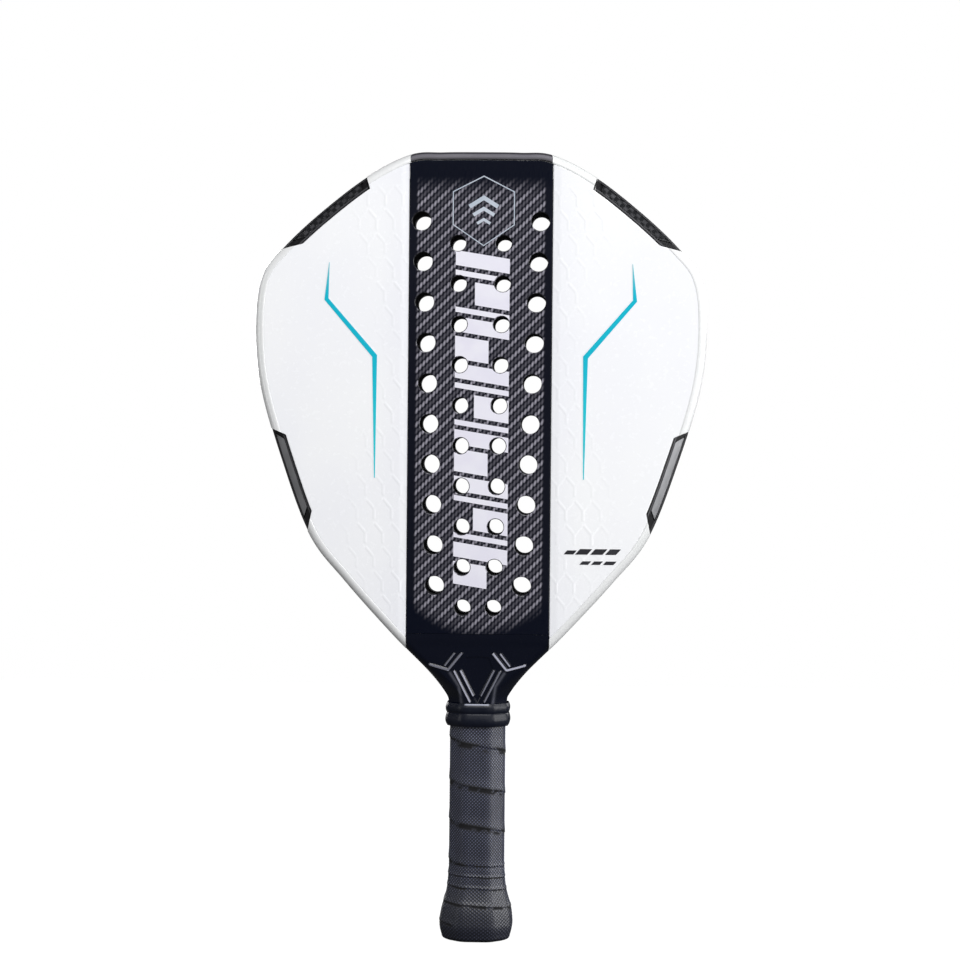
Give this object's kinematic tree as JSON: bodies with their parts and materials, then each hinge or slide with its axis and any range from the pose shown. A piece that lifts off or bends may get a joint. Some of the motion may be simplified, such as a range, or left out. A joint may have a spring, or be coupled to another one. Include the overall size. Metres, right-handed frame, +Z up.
{
  "type": "padel racket",
  "caption": "Rigid drilled padel racket with a hollow frame, foam core, two faces, a moulded yoke and a taped octagonal handle.",
  "frame": {"origin": "middle of the butt's flat end, on the racket's long axis", "axes": "+Z up the long axis to the tip of the head, +X across the face, +Y through the thickness; the front face looks along -Y"},
  "size_m": [0.2598, 0.038, 0.455],
  "materials": {
    "white_paint": "white gloss lacquer over fibre laminate, pressed relief",
    "foam": "closed-cell EVA foam, matt",
    "carbon_twill": "2x2 twill carbon under clear lacquer, navy-black border",
    "bumper_grey": "satin grey moulded plastic",
    "hard_foam": "rigid foam, matt",
    "yoke_gloss": "navy-black high gloss with raised ridges",
    "black_plastic": "satin black moulded plastic",
    "carbon_plate": "chequered carbon weave, semi-gloss",
    "satin_grey": "satin grey plate",
    "rubber": "black moulded rubber, satin",
    "grip_foam": "cushioned synthetic grip, matt",
    "overgrip": "charcoal polyurethane tape with an embossed mesh",
    "tape": "thin black adhesive tape"
  },
  "bodies": {
    "root": {"frame_tube": "white_paint", "eva_core": "foam", "front_wing_left": "white_paint", "front_wing_right": "white_paint", "rear_wing_left": "white_paint", "rear_wing_right": "white_paint", "front_carbon_strip": "carbon_twill", "rear_carbon_strip": "carbon_twill", "top_bumper": "bumper_grey", "throat_bridge": "hard_foam", "throat_cover_front": "yoke_gloss", "throat_cover_rear": "yoke_gloss", "handle_pallet_front": "hard_foam", "handle_pallet_rear": "hard_foam", "handle_filler": "foam", "butt_cap": "black_plastic", "butt_plug": "rubber", "base_grip": "grip_foam", "overgrip": "overgrip", "finishing_tape": "tape", "collar": "rubber", "insert_bezel_upper_left": "black_plastic", "insert_plate_upper_left_front": "carbon_plate", "insert_plate_upper_left_rear": "carbon_plate", "insert_bezel_upper_right": "black_plastic", "insert_plate_upper_right_front": "carbon_plate", "insert_plate_upper_right_rear": "carbon_plate", "insert_bezel_lower_left": "black_plastic", "insert_plate_lower_left_front": "satin_grey", "insert_plate_lower_left_rear": "satin_grey", "insert_bezel_lower_right": "black_plastic", "insert_plate_lower_right_front": "satin_grey", "insert_plate_lower_right_rear": "satin_grey"}
  },
  "joints": []
}
